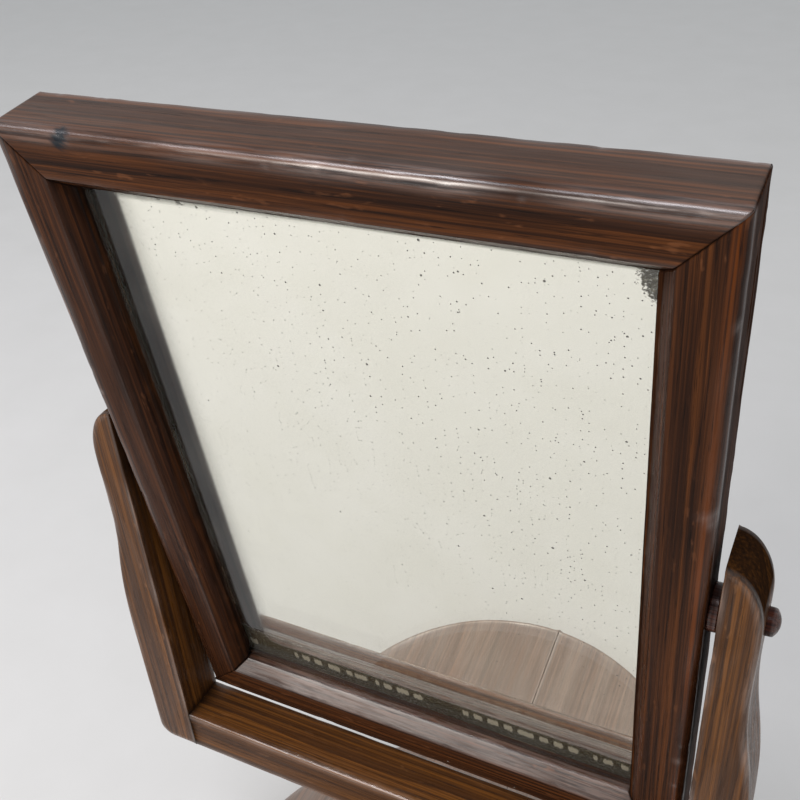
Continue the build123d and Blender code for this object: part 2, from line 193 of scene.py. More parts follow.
def rounded(corners, step=STEP):
    """Closed outline through (x, y, radius) corners, and how near each of its points is to a worn edge."""
    places = [np.array(corner[:2], float) for corner in corners]
    points, edges = [], []
    for i, (place, corner) in enumerate(zip(places, corners)):
        arc, edge = [place], 0.0
        if corner[2] > 0:
            before = towards(place, places[i - 1])
            after = towards(place, places[(i + 1) % len(places)])
            arc, edge = corner_arc(place, before, after, corner[2]), 1.0
        points += arc
        edges += [edge] * len(arc)
    return divided(points, edges, step)


def circle(radius, count):
    angles = np.linspace(0, 2 * math.pi, count, endpoint=False)
    return radius * np.column_stack([np.cos(angles), np.sin(angles)])


def ring_at(x, section):
    """A section in Y and Z as a ring of points at x."""
    return np.column_stack([np.full(len(section), x), section])


def outward(outline):
    """Outward normals of a closed outline, lengthened at corners so that an offset keeps its width."""
    ahead = np.roll(outline, -1, axis=0) - outline
    ahead /= np.linalg.norm(ahead, axis=1, keepdims=True)
    behind = np.roll(ahead, 1, axis=0)
    area = np.sum(outline[:, 0] * np.roll(outline[:, 1], -1) - outline[:, 1] * np.roll(outline[:, 0], -1))
    turn = 1 if area > 0 else -1
    normals = turn * np.stack([ahead[:, 1] + behind[:, 1], -ahead[:, 0] - behind[:, 0]], axis=1)
    scale = np.maximum((normals ** 2).sum(axis=1, keepdims=True) / 2, 0.4)
    return normals / scale


# ---- Meshes ----

def loft(rings, closed=False):
    """Vertices and faces of a skin over rings of points, capped unless the last ring joins the first."""
    count, around = rings.shape[:2]
    faces = []
    for i in range(count if closed else count - 1):
        a, b = i * around, (i + 1) % count * around
        faces += [(a + j, a + (j + 1) % around, b + (j + 1) % around, b + j) for j in range(around)]
    if not closed:
        faces.append(tuple(range(around)))
        faces.append(tuple(range((count - 1) * around, count * around)))
    return rings.reshape(-1, 3), faces


def mend(mesh):
    """Welds doubled points and turns every face outwards."""
    work = bmesh.new()
    work.from_mesh(mesh)
    bmesh.ops.remove_doubles(work, verts=work.verts, dist=WELD)
    bmesh.ops.recalc_face_normals(work, faces=work.faces)
    work.to_mesh(mesh)
    work.free()


def add_object(name, data):
    made = bpy.data.objects.new(name, data)
    bpy.context.scene.collection.objects.link(made)
    return made


def piece(node, vertices, faces, axes, heart=(0, 0, 0), **masks):
    """Mesh object that stands for a CAD node. Its origin moves to the heart of the tree."""
    name = "worn_" + node
    mesh = bpy.data.meshes.new(name)
    local = (vertices - np.array(heart, float)) * MM
    mesh.from_pydata(local.tolist(), [], faces)
    for mask, values in masks.items():
        mesh.attributes.new(mask, "FLOAT", "POINT").data.foreach_set("value", values.astype(np.float32))
    mend(mesh)
    mesh.shade_smooth()
    for face in mesh.polygons:
        face.use_smooth = len(face.vertices) <= 4
    mesh.set_sharp_from_angle(angle=SHARP_EDGE)
    mesh.materials.append(MATERIALS[SLOT_OF[node]])
    made = add_object(name, mesh)
    placed = axes @ Matrix.Translation(Vector(heart))
    made.matrix_world = Matrix.Translation(placed.translation * MM) @ placed.to_3x3().to_4x4()
    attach(made, BODY_OF[node])
    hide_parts(node)
    return made


def axes_of(origin, along, across):
    """Placing matrix in millimetres, with X along the grain and Y across."""
    along, across = Vector(along), Vector(across)
    turned = Matrix((along, across, along.cross(across))).transposed().to_4x4()
    return Matrix.Translation(Vector(origin)) @ turned


# the swinging frame's own axes: X across, Y back from the front face, Z up from the bottom edge
FRAME_AXES = (
    Matrix.Translation(PIVOT)
    @ Matrix.Rotation(TILT, 4, "X")
    @ Matrix.Translation(Vector((0, -FRAME_DEPTH / 2, -PIVOT_V)))
)


# ---- Materials ----

class Graph:
    """A material's node tree, with short calls for the nodes that the finishes share."""

    def __init__(self, name):
        self.material = bpy.data.materials.new(name)
        self.material.use_nodes = True
        self.tree = self.material.node_tree
        self.tree.nodes.clear()
        self.coordinates = self.node("ShaderNodeTexCoord").outputs["Object"]

    def node(self, kind, inputs=None, **settings):
        made = self.tree.nodes.new(kind)
        for key, value in settings.items():
            setattr(made, key, value)
        for key, value in (inputs or {}).items():
            if isinstance(value, bpy.types.NodeSocket):
                self.tree.links.new(value, made.inputs[key])
            else:
                made.inputs[key].default_value = value
        return made

    def math(self, operation, a, b=0.0, clamp=False):
        return self.node("ShaderNodeMath", {0: a, 1: b}, operation=operation, use_clamp=clamp).outputs[0]

    def vector(self, operation, a, b):
        return self.node("ShaderNodeVectorMath", {0: a, 1: b}, operation=operation).outputs["Vector"]

    def stretched(self, along, across):
        """Object coordinates in features of the given sizes, in millimetres."""
        scale = (1 / (along * MM), 1 / (across * MM), 1 / (across * MM))
        return self.vector("MULTIPLY", self.coordinates, scale)

    def noise(self, place, detail=2.0, roughness=0.5, output="Fac"):
        inputs = {"Vector": place, "Scale": 1.0, "Detail": detail, "Roughness": roughness}
        return self.node("ShaderNodeTexNoise", inputs).outputs[output]

    def spread(self, value, start, end, to_start=0.0, to_end=1.0):
        """value from start..end to to_start..to_end, eased and held at both ends."""
        inputs = {"Value": value, "From Min": start, "From Max": end, "To Min": to_start, "To Max": to_end}
        return self.node("ShaderNodeMapRange", inputs, interpolation_type="SMOOTHSTEP").outputs["Result"]

    def mix(self, factor, a, b):
        made = self.node("ShaderNodeMix", {0: factor, 6: a, 7: b}, data_type="RGBA")
        return made.outputs[2]

    def times(self, a, b):
        return self.math("MULTIPLY", a, b, clamp=True)

    def scaled(self, a, amount):
        return self.math("MULTIPLY", a, amount)

    def plus(self, a, b, clamp=False):
        return self.math("ADD", a, b, clamp=clamp)

    def minus(self, a, b, clamp=False):
        return self.math("SUBTRACT", a, b, clamp=clamp)

    def swing(self, texture, amount):
        """A texture of 0 to 1 turned into a swing of half the amount either way."""
        return self.scaled(self.minus(texture, 0.5), amount)

    def lot(self, cells):
        """A random value for each cell of a Voronoi texture."""
        return self.node("ShaderNodeSeparateColor", {0: cells.outputs["Color"]}).outputs[0]

    def mask(self, name):
        """An amount held by the mesh: wear, dirt with painted shade, dust with painted sheen, and the like."""
        return self.node("ShaderNodeAttribute", attribute_name=name).outputs["Fac"]

    def bump(self, height, distance, strength=1.0):
        inputs = {"Height": height, "Distance": distance * MM, "Strength": strength}
        return self.node("ShaderNodeBump", inputs).outputs["Normal"]

    def finish(self, shader):
        output = self.node("ShaderNodeOutputMaterial")
        self.tree.links.new(shader, output.inputs["Surface"])
        return self.material

    def principled(self, **inputs):
        named = {key.replace("_", " "): value for key, value in inputs.items()}
        return self.finish(self.node("ShaderNodeBsdfPrincipled", named).outputs["BSDF"])


def rgb(r, g, b):
    return (r, g, b, 1.0)


AMBER = rgb(0.15, 0.036, 0.003)
PORE_BLACK = rgb(0.004, 0.003, 0.003)
# grey of dust and of a painted sheen that stands in for the sky's reflection on upward faces
DUST_AND_SHEEN_GREY = rgb(0.40, 0.33, 0.285)
# near black of dirt and dark joints, and of painted shade under the lips, in inner corners, grooves and cracks
DIRT_AND_SHADE = rgb(0.006, 0.005, 0.0045)
BURN = rgb(0.005, 0.008, 0.012)
SPECK = rgb(0.6, 0.58, 0.54)
# how far the rings wander, in metres, and how fast the trunk tapers
RING_DRIFT = (0.0, 0.011, 0.011)
TRUNK_TAPER = 0.018


def growth(g, ring):
    """Openness of the wood through each year's ring, and a random value for each year."""
    drift = g.noise(g.stretched(190, 34), detail=3.0, output="Color")
    centred = g.vector("SUBTRACT", drift, (0.5, 0.5, 0.5))
    bent = g.vector("ADD", g.coordinates, g.vector("MULTIPLY", centred, RING_DRIFT))
    cone = g.vector("MULTIPLY", bent, (TRUNK_TAPER, 1.0, 1.0))
    radius = g.node("ShaderNodeVectorMath", {0: cone}, operation="LENGTH").outputs["Value"]
    turns = g.math("DIVIDE", radius, ring * MM)
    count = {"W": g.math("FLOOR", turns)}
    year = g.node("ShaderNodeTexWhiteNoise", count, noise_dimensions="1D").outputs["Value"]
    phase = g.math("FRACT", turns)
    early = g.times(g.spread(phase, 0.0, 0.16), g.spread(phase, 0.16, 0.62, 1.0, 0.0))
    return early, year


def oak_grain(g, ring):
    """Textures that the colour, the gloss and the relief of oak share."""
    early, year = growth(g, ring)
    patches = g.noise(g.stretched(120, 17), detail=3.0)
    vessels = g.spread(g.noise(g.stretched(13, 0.3), detail=1.0), 0.58, 0.68)
    flecks = g.spread(g.noise(g.stretched(11, 3.4), detail=2.0), 0.62, 0.72)
    return SimpleNamespace(
        early=early, year=year, patches=patches,
        streaks=g.noise(g.stretched(150, 1.5), detail=4.0, roughness=0.55),
        fine=g.noise(g.stretched(45, 0.5), detail=3.0, roughness=0.55),
        scuffs=g.noise(g.stretched(26, 1.5), detail=4.0, roughness=0.65),
        pores=g.times(vessels, g.spread(early, 0.1, 0.6, 0.15, 0.8)),
        rays=g.times(flecks, g.spread(patches, 0.45, 0.6)),
    )


def stained(g, grain, dark, brown, orange, contrast):
    """Stain that went in unevenly: warm in the dense wood, dark in the open wood and the fine lines."""
    warm = g.spread(g.plus(g.scaled(grain.streaks, 0.75), g.scaled(grain.year, 0.3)), 0.40, 0.72)
    gullies = g.scaled(g.spread(grain.streaks, 0.58, 0.36), 0.75)
    bands = g.plus(g.scaled(grain.early, 0.5), gullies, clamp=True)
    strength = g.spread(grain.patches, 0.25, 0.6, 0.55 * contrast, contrast)
    colour = g.mix(g.times(bands, strength), g.mix(warm, brown, orange), dark)
    return g.mix(g.times(g.spread(grain.fine, 0.5, 0.68), 0.35), colour, dark)


def figured(g, grain, colour, worn):
    """Rays and flames across the grain, an amber streak, open pores, and edges rubbed back."""
    colour = g.mix(g.times(grain.rays, 0.35), colour, worn)
    flames = g.spread(g.plus(g.mask("flame"), g.swing(grain.fine, 0.7)), 0.35, 0.75)
    colour = g.mix(g.times(flames, 0.6), colour, worn)
    colour = g.mix(g.times(g.mask("amber"), g.spread(grain.streaks, 0.3, 0.55)), colour, AMBER)
    colour = g.mix(g.times(grain.pores, 0.8), colour, PORE_BLACK)
    rubbed = g.times(g.mask("wear"), g.spread(grain.scuffs, 0.42, 0.68))
    return g.mix(g.times(rubbed, 0.4), colour, worn)


def soiled(g, colour, haze):
    """Grey dust haze with a painted sheen on upward faces, dirt with painted shade, a burn, and a few pale specks
    of paint.
    """
    if haze:
        # upward faces greyed: partly dust, partly a painted sheen
        cloud = g.noise(g.stretched(110, 14), detail=5.0, roughness=0.65)
        dust_sheen_greying = g.times(g.spread(cloud, 0.35, 0.7, 0.6, 1.0), g.mask("haze"))
        colour = g.mix(g.times(dust_sheen_greying, haze), colour, DUST_AND_SHEEN_GREY)
    # dirt and dark joints, with painted shade in the recesses
    colour = g.mix(g.mask("dirt"), colour, DIRT_AND_SHADE)
    colour = g.mix(g.mask("mark"), colour, BURN)
    cells = g.node("ShaderNodeTexVoronoi", {"Vector": g.coordinates, "Scale": 48.0})
    speck = g.times(g.spread(g.lot(cells), 0.93, 0.94), g.spread(cells.outputs["Distance"], 0.028, 0.018))
    return g.mix(g.times(speck, 0.7), colour, SPECK)


def oak_roughness(g, grain, gloss):
    """Duller in pores, in dirt and painted shade, and in dust, and smoother on rubbed edges."""
    rough = g.plus(g.spread(grain.scuffs, 0.3, 0.75, gloss - 0.07, gloss + 0.11), g.scaled(grain.pores, 0.3))
    rough = g.minus(rough, g.scaled(g.mask("wear"), 0.09))
    rough = g.plus(rough, g.scaled(g.mask("dirt"), 0.3), clamp=True)
    return g.plus(rough, g.scaled(g.mask("dull"), 0.4), clamp=True)


def old_polish(g, grain):
    """Polish that is thick and unbroken on the rounded edges, and burnt away at the mark."""
    polish = g.times(g.mask("wear"), g.spread(grain.scuffs, 0.34, 0.58, 0.25, 1.0))
    return g.times(polish, g.minus(1.0, g.mask("mark"), clamp=True))


def oak(name, dark, brown, orange, worn, ring=3.1, gloss=0.3, haze=0.0, specular=0.1, contrast=1.0):
    """Stained oak: growth rings cut by each face, open pores, rays, rubbed edges, dirt and painted shade in the
    corners.
    """
    g = Graph(name)
    grain = oak_grain(g, ring)
    colour = figured(g, grain, stained(g, grain, dark, brown, orange, contrast), worn)
    shine = g.plus(g.scaled(g.mask("wear"), 0.6), specular)
    shine = g.minus(shine, g.scaled(g.mask("dirt"), 0.2), clamp=True)
    height = g.minus(g.scaled(grain.streaks, 0.35), g.scaled(grain.pores, 0.8))
    height = g.minus(height, g.scaled(grain.early, 0.22))
    return g.principled(
        Base_Color=soiled(g, colour, haze), Roughness=oak_roughness(g, grain, gloss),
        Normal=g.bump(height, 0.12, 0.5), Specular_IOR_Level=shine,
        Coat_Weight=old_polish(g, grain), Coat_IOR=1.8, Coat_Roughness=0.33
    )


def foxed_specks(g, eaten):
    """Black specks of three sizes, more of them where the mask says that the silver is foxed."""
    specks = None
    for size, density, width in ((5.5, 0.34, 0.035), (3.2, 0.62, 0.050), (16.0, 0.6, 0.021)):
        inputs = {"Vector": g.stretched(size, size), "Scale": 1.0}
        cells = g.node("ShaderNodeTexVoronoi", inputs, voronoi_dimensions="2D")
        reach = g.scaled(g.mask("foxing"), g.spread(g.lot(cells), density, 1.0, 0.0, width * 2))
        near = g.plus(cells.outputs["Distance"], g.swing(eaten, 0.2 / size))
        spot = g.math("GREATER_THAN", reach, near)
        specks = spot if specks is None else g.math("MAXIMUM", specks, spot)
    return specks


def backing_paint(g, eaten):
    """What shows where the silver is gone: flaked dark paint, with pale scraps of paper."""
    flakes = g.noise(g.stretched(2.6, 1.5), detail=4.0, roughness=0.75)
    paint = g.mix(g.spread(flakes, 0.5, 0.68), rgb(0.042, 0.035, 0.020), rgb(0.15, 0.135, 0.09))
    scraps = g.plus(g.mask("scraps"), g.swing(eaten, 2.2))
    return g.mix(g.spread(scraps, 0.5, 0.66), paint, rgb(0.42, 0.375, 0.29))


def silvering():
    """Old mirror silver: clear in the middle, foxed with specks, lost along the edges and in one corner."""
    g = Graph("old_silvering")
    eaten = g.noise(g.stretched(1.2, 1.2), detail=5.0, roughness=0.75)
    lost = g.spread(g.plus(g.mask("bare"), g.swing(eaten, 1.9)), 0.42, 0.66)
    specks = foxed_specks(g, eaten)
    cloud = g.noise(g.stretched(30, 30), detail=3.0)
    silver = g.mix(g.spread(cloud, 0.3, 0.7), rgb(0.95, 0.93, 0.88), rgb(0.93, 0.91, 0.85))
    dull = g.times(g.mask("margin"), g.spread(eaten, 0.2, 0.55, 0.75, 1.0))
    colour = g.mix(dull, silver, rgb(0.20, 0.195, 0.165))
    colour = g.mix(lost, colour, backing_paint(g, eaten))
    colour = g.mix(g.times(specks, 0.85), colour, rgb(0.035, 0.033, 0.025))
    spoilt = g.math("MAXIMUM", g.times(lost, 0.85), g.times(specks, 0.8))
    rough = g.plus(g.scaled(dull, 0.22), g.scaled(lost, 0.3), clamp=True)
    return g.principled(
        Base_Color=colour, Metallic=g.minus(1.0, spoilt, clamp=True), Roughness=rough, Specular_IOR_Level=0.0
    )


def plate_glass():
    """Clear old plate glass with a little surface dust."""
    g = Graph("plate_glass")
    dust = g.spread(g.noise(g.stretched(40, 40), detail=5.0), 0.35, 0.8, 0.0, 0.02)
    clear = g.node("ShaderNodeBsdfTransparent", {"Color": rgb(0.985, 0.988, 0.975)}).outputs[0]
    shine = g.node("ShaderNodeBsdfGlossy", {"Color": rgb(1, 1, 1), "Roughness": 0.02}).outputs[0]
    film = g.node("ShaderNodeBsdfDiffuse", {"Color": rgb(0.7, 0.68, 0.6)}).outputs[0]
    dust_and_sheen_sides = g.node("ShaderNodeMixShader", {0: dust, 1: clear, 2: film}).outputs[0]
    # Schlick's curve is the same from inside the plate, where a Fresnel node would reflect everything
    grazing = g.node("ShaderNodeLayerWeight", {"Blend": 0.5}).outputs["Facing"]
    reflected = g.plus(g.scaled(g.math("POWER", grazing, 5.0), 0.96), 0.04, clamp=True)
    return g.finish(g.node("ShaderNodeMixShader", {0: reflected, 1: dust_and_sheen_sides, 2: shine}).outputs[0])


def pine():
    """Bare softwood, darkened with age."""
    g = Graph("aged_pine")
    wander = g.noise(g.stretched(160, 26), detail=2.0)
    across = g.node("ShaderNodeSeparateXYZ", {0: g.coordinates}).outputs["Z"]
    rings = g.plus(g.scaled(across, 190.0), g.scaled(wander, 5.0))
    phase = g.math("FRACT", rings)
    late = g.times(g.spread(phase, 0.3, 0.85), g.spread(phase, 0.88, 1.0, 1.0, 0.0))
    stain = g.noise(g.stretched(60, 45), detail=5.0)
    colour = g.mix(late, rgb(0.33, 0.20, 0.105), rgb(0.17, 0.085, 0.04))
    colour = g.mix(g.spread(stain, 0.42, 0.75, 0.0, 0.7), colour, rgb(0.11, 0.065, 0.035))
    fibre = g.noise(g.stretched(1.0, 1.0), detail=3.0)
    return g.principled(
        Base_Color=colour, Roughness=g.spread(fibre, 0.3, 0.7, 0.62, 0.8), Normal=g.bump(late, 0.15, 0.5)
    )


def kraft_paper():
    g = Graph("kraft_paper")
    fibre = g.noise(g.stretched(1.2, 1.2), detail=6.0, roughness=0.7)
    colour = g.mix(fibre, rgb(0.36, 0.26, 0.15), rgb(0.24, 0.16, 0.09))
    rough = g.spread(fibre, 0.3, 0.7, 0.75, 0.9)
    return g.principled(Base_Color=colour, Roughness=rough, Normal=g.bump(fibre, 0.05))


def old_steel():
    g = Graph("old_steel")
    turned = g.noise(g.stretched(0.5, 3.0), detail=4.0)
    rust = g.spread(g.noise(g.stretched(2.2, 2.2), detail=4.0), 0.5, 0.66)
    colour = g.mix(rust, rgb(0.30, 0.28, 0.25), rgb(0.12, 0.05, 0.022))
    metal = g.spread(rust, 0.0, 1.0, 1.0, 0.25)
    rough = g.spread(turned, 0.3, 0.7, 0.34, 0.6)
    return g.principled(Base_Color=colour, Metallic=metal, Roughness=rough, Normal=g.bump(rust, 0.05))


def felt():
    g = Graph("pressed_felt")
    fibre = g.noise(g.stretched(0.5, 0.5), detail=5.0, roughness=0.75)
    worn = g.noise(g.stretched(8, 8), detail=3.0)
    colour = g.mix(fibre, rgb(0.025, 0.045, 0.02), rgb(0.09, 0.13, 0.06))
    colour = g.mix(g.spread(worn, 0.5, 0.8, 0.0, 0.6), colour, rgb(0.16, 0.15, 0.11))
    rough = g.spread(worn, 0.3, 0.7, 0.85, 0.98)
    return g.principled(Base_Color=colour, Roughness=rough, Normal=g.bump(fibre, 0.2), Sheen_Weight=0.4)


def floor_finish():
    g = Graph("pale_floor")
    mottle = g.noise(g.stretched(90, 90), detail=6.0, roughness=0.6)
    colour = g.mix(mottle, rgb(0.66, 0.655, 0.635), rgb(0.72, 0.715, 0.70))
    return g.principled(Base_Color=colour, Roughness=g.spread(mottle, 0.3, 0.7, 0.75, 0.85))


NEAR_BLACK = rgb(0.0085, 0.0045, 0.0035)
MATERIALS = {
    "frame_oak": oak(
        "frame_oak", NEAR_BLACK, brown=rgb(0.044, 0.0155, 0.0065), orange=rgb(0.108, 0.035, 0.010),
        worn=rgb(0.23, 0.088, 0.036), haze=0.13, specular=0.06, contrast=0.74
    ),
    "yoke_oak": oak(
        "yoke_oak", rgb(0.016, 0.008, 0.005), brown=rgb(0.075, 0.029, 0.009),
        orange=rgb(0.17, 0.064, 0.014), worn=rgb(0.26, 0.12, 0.05), contrast=0.5
    ),
    "peg_oak": oak(
        "peg_oak", rgb(0.012, 0.004, 0.003), brown=rgb(0.045, 0.011, 0.006),
        orange=rgb(0.09, 0.022, 0.009), worn=rgb(0.14, 0.05, 0.022), ring=2.2
    ),
    "column_oak": oak(
        "column_oak", NEAR_BLACK, brown=rgb(0.036, 0.014, 0.0065), orange=rgb(0.10, 0.034, 0.010),
        worn=rgb(0.16, 0.065, 0.028)
    ),
    "base_oak": oak(
        "base_oak", rgb(0.075, 0.045, 0.033), brown=rgb(0.19, 0.108, 0.074),
        orange=rgb(0.31, 0.17, 0.105), worn=rgb(0.36, 0.24, 0.16), ring=3.6, gloss=0.38, haze=0.68
    ),
    "panel_pine": pine(),
    "glass": plate_glass(),
    "silvering": silvering(),
    "paper": kraft_paper(),
    "screw_steel": old_steel(),
    "felt": felt(),
}


# ---- Swinging frame ----

def member_section(face, outer_edge):
    """Section of a frame member: inset from the outer edge, and depth from the front face."""
    sight = face + BEVEL_WIDTH
    panel_front = FRAME_DEPTH - PANEL_THICKNESS
    return rounded(step=FINE_STEP, corners=[
        (0, FRAME_DEPTH, BACK_EDGE), (0, 0, outer_edge), (face, 0, 0.7),
        (sight, BEVEL_DEPTH, 0.5), (sight, LIP_DEPTH, 0.25),
        (sight - GLASS_REBATE, LIP_DEPTH, 0), (sight - GLASS_REBATE, panel_front, 0.3),
        (sight - PANEL_REBATE, panel_front, 0), (sight - PANEL_REBATE, FRAME_DEPTH, 0.5),
    ])


def stations(half, vee):
    """Places along a piece from -half to half, close together at its ends."""
    ends = np.array([0, vee, 2 * vee, 1.2, 2.2, 3.6])
    middle = np.linspace(-half + 5.5, half - 5.5, round((2 * half - 11) / STEP))
    return np.concatenate([-half + ends, middle, half - ends[::-1]])


class Member:
    """Mitred frame member. X is along it, Y inset from the outer edge, Z back from the front face."""

    def __init__(self, length, face, neighbours, outer_edge, seed, dents):
        self.length, self.face, self.seed = length, face, seed
        outline, edge = member_section(face, outer_edge)
        share = (stations(length / 2, MITRE_VEE) / length + 0.5)[:, None]
        self.vertices, self.faces = loft(self.mitred(outline, neighbours, share))
        self.x, self.inset, self.depth = self.vertices.T
        self.edge = np.tile(edge, len(share))
        self.skin = np.tile(np.column_stack([np.zeros(len(outline)), outward(outline)]), (len(share), 1))
        self.from_end = np.repeat(np.minimum(share, 1 - share)[:, 0] * length, len(outline))
        self.nicked = self.struck(dents)
        self.moved = self.worn_down()

    def mitred(self, outline, neighbours, share):
        """Rings from one mitre to the other, each cut to meet a neighbour of the given face width."""
        inset, depth = outline.T
        past_face = np.maximum(inset - self.face, 0) + MITRE_GAP
        start, end = (width / self.face * np.minimum(inset, self.face) + past_face for width in neighbours)
        x = start - self.length / 2 + (self.length - start - end) * share
        return np.stack([x, np.broadcast_to(inset, x.shape), np.broadcast_to(depth, x.shape)], axis=2)

    def noise(self, size, layer):
        return noise(self.vertices, size, self.seed + layer)

    def struck(self, dents):
        """Random nicks along the front edges, and the dents given."""
        edge_points = self.vertices[(self.edge > 0.9) & (self.inset < self.face)]
        nicked = nicks(self.vertices, edge_points, self.seed, count=26, smallest=0.9, largest=2.4)
        return nicked + 1.5 * bumps(self.vertices, dents, [2.6] * len(dents))

    def worn_down(self):
        """Surface planed by hand, rubbed along the edges, nicked, and eased at the mitres."""
        planed = 0.06 * (self.noise(30, 0) + 1)
        rubbed = (0.05 + 0.2 * (self.inset < self.face)) * self.edge * np.maximum(self.noise(11, 1), 0)
        vee = np.clip(1 - self.from_end / (2 * MITRE_VEE), 0, 1)
        inward = planed + rubbed + 0.16 * np.minimum(self.nicked, 2.2) + 0.34 * vee
        return self.vertices - self.skin * inward[:, None]

    def round_corners(self):
        """Rounds the frame's outer corners, which two mitred ends share."""
        corner = self.length / 2 - FRAME_CORNER
        for side in (-1, 1):
            past = np.maximum(side * self.moved[:, 0] - corner, 0)
            out = np.maximum(FRAME_CORNER - self.moved[:, 1], 0)
            reach = np.hypot(past, out)
            over = reach > FRAME_CORNER
            scale = FRAME_CORNER / reach[over]
            self.moved[over, 0] = side * (corner + past[over] * scale)
            self.moved[over, 1] = FRAME_CORNER - out[over] * scale

    def dirt(self, lip_dirt):
        """Painted shade under the lip, grime and painted shade in the inner corners, dark mitre joints, and dust
        on the hidden back.
        """
        # painted shade just inside the sight edge, under the lip
        lip_shade_band = smooth_step(self.inset, self.face + 3.5, self.face + BEVEL_WIDTH)
        lip_shade_band *= self.depth < LIP_DEPTH + 0.1
        hidden = (self.inset > self.face - PANEL_REBATE) & (self.depth > LIP_DEPTH + 0.2)
        corners = np.exp(-self.from_end / 5.0) * (self.inset > self.face + 0.5)
        mitres = 0.85 * np.clip(1 - self.from_end / 0.9, 0, 1)
        dirt = np.clip(lip_dirt * lip_shade_band + 0.5 * corners + mitres + 0.35 * hidden, 0, 1)
        return dirt * (0.75 + 0.25 * self.noise(6, 2))

    def crack(self, depth, start, end):
        """Opens a wandering drying crack along the outer side, and returns its dark line: dirt and painted shade
        in the crack.
        """
        wander = self.depth - depth - 1.2 * noise(self.vertices * (1, 0, 0), 22, self.seed + 5)
        reach = smooth_step(self.x, start, start + 6) * smooth_step(self.x, end, end - 14)
        line = np.exp(-(wander / 0.9) ** 2) * reach * (self.inset < 1)
        self.moved[:, 1] += 0.35 * line
        return line

    def wear(self, edge_wear, bevel_polish_and_highlight):
        """Wear along the edges, from edge_wear's first value to its second, and over the bevel, where the lighter
        worn colour is partly a painted highlight.
        """
        kept = np.interp(self.x, (-self.length / 4, self.length / 4), edge_wear)
        wear = kept * self.edge * (0.65 + 0.5 * self.noise(26, 3)) + 0.4 * np.minimum(self.nicked, 1)
        wear *= np.where(self.inset > self.face / 2, 0.25, 1.0)
        bevel = smooth_step(self.inset, self.face - 0.5, self.face + 1) * (self.depth < LIP_DEPTH)
        return np.clip(wear + bevel_polish_and_highlight * bevel * (1 + 0.3 * self.noise(26, 7)), 0, 1)

    def burn(self, mark):
        burnt = bumps(self.vertices, *mark)
        return smooth_step(burnt * (1 + 0.3 * self.noise(2.5, 4)), 0.28, 0.75)

    def flame(self, along, inset, length):
        """Slanting patch where a medullary ray comes to the front face."""
        slant = math.radians(24)
        x, y = self.x - along, self.inset - inset
        down = x * math.cos(slant) + y * math.sin(slant)
        over = y * math.cos(slant) - x * math.sin(slant)
        return np.exp(-(down / length) ** 2 - (over / 3.2) ** 2) * (self.depth < 2)

    def amber(self, amount):
        """Warm streak along the front face, close to its outer edge."""
        streak = np.exp(-((self.inset - 3.6) / 1.7) ** 2) * (self.depth < 3)
        return np.clip(amount * streak * (0.7 + 0.3 * self.noise(30, 6)), 0, 1)


def frame_member(node, length, face, neighbours, axes, seed, heart, outer_edge=FRONT_EDGE, lip_dirt=0.75,
                 edge_wear=(1.0, 1.0), bevel_polish_and_highlight=0.0, dust_and_sheen_sides=0.0, dents=(), mark=((), ()), cracks=(),
                 flames=(), amber=0.0):
    """Makes one mitred member, with the wear, dirt and painted shade that it alone has."""
    member = Member(length, face, neighbours, outer_edge, seed, dents)
    member.round_corners()
    dirt = member.dirt(lip_dirt)
    for place in cracks:
        dirt = np.maximum(dirt, member.crack(*place))
    # outer sides; on the top rail this upward side gets dust and a painted sheen instead of dullness
    side = (member.inset < 0.5) * smooth_step(member.depth, 5, 9)
    flame = sum((member.flame(*place) for place in flames), np.zeros(len(side)))
    piece(
        node, member.moved, member.faces, FRAME_AXES @ axes, heart, dirt=dirt,
        wear=member.wear(edge_wear, bevel_polish_and_highlight), mark=member.burn(mark), flame=flame,
        amber=member.amber(amber), dull=side * (1 - dust_and_sheen_sides), haze=side * dust_and_sheen_sides,
    )


def make_frame():
    half_width, half_height = FRAME_WIDTH / 2, FRAME_HEIGHT / 2
    frame_member(
        "frame_top_rail", FRAME_WIDTH, TOP_RAIL_FACE, (STILE_FACE, STILE_FACE),
        axes_of((0, 0, FRAME_HEIGHT), (1, 0, 0), (0, 0, -1)), seed=11, heart=(420, 95, 62),
        dust_and_sheen_sides=1.0, edge_wear=(0.5, 1.0), dents=[(-112.5, 1.5, 1.5), (52, 1.2, 1.5)],
        mark=([(-112.2, 0.4, 1.5), (-113.4, 3.4, 0.2), (-114.6, 5.2, 0.0)], (3.4, 3.2, 2.4)),
    )
    frame_member(
        "frame_bottom_rail", FRAME_WIDTH, BOTTOM_RAIL_FACE, (STILE_FACE, STILE_FACE),
        axes_of((0, 0, 0), (-1, 0, 0), (0, 0, 1)), seed=23, heart=(900, -70, 48),
        # the bevel's lighter worn colour is wear, and partly a painted highlight
        # this bevel faces the light, so its lip gets little painted shade
        outer_edge=LOWER_EDGE, lip_dirt=0.12, bevel_polish_and_highlight=0.42,
    )
    frame_member(
        "frame_left_stile", FRAME_HEIGHT, STILE_FACE, (BOTTOM_RAIL_FACE, TOP_RAIL_FACE),
        axes_of((-half_width, 0, half_height), (0, 0, 1), (1, 0, 0)), seed=37, heart=(-300, 24, 88),
        edge_wear=(0.4, 0.4), flames=[(112, 9, 15), (66, 14, 12), (28, 8, 13), (-30, 13, 16)],
    )
    frame_member(
        "frame_right_stile", FRAME_HEIGHT, STILE_FACE, (TOP_RAIL_FACE, BOTTOM_RAIL_FACE),
        axes_of((half_width, 0, half_height), (0, 0, -1), (-1, 0, 0)), seed=41, heart=(150, 84, 30),
        cracks=[(26.5, -192, -95), (20.5, -170, -130)], edge_wear=(0.12, 0.12), amber=0.9,
    )


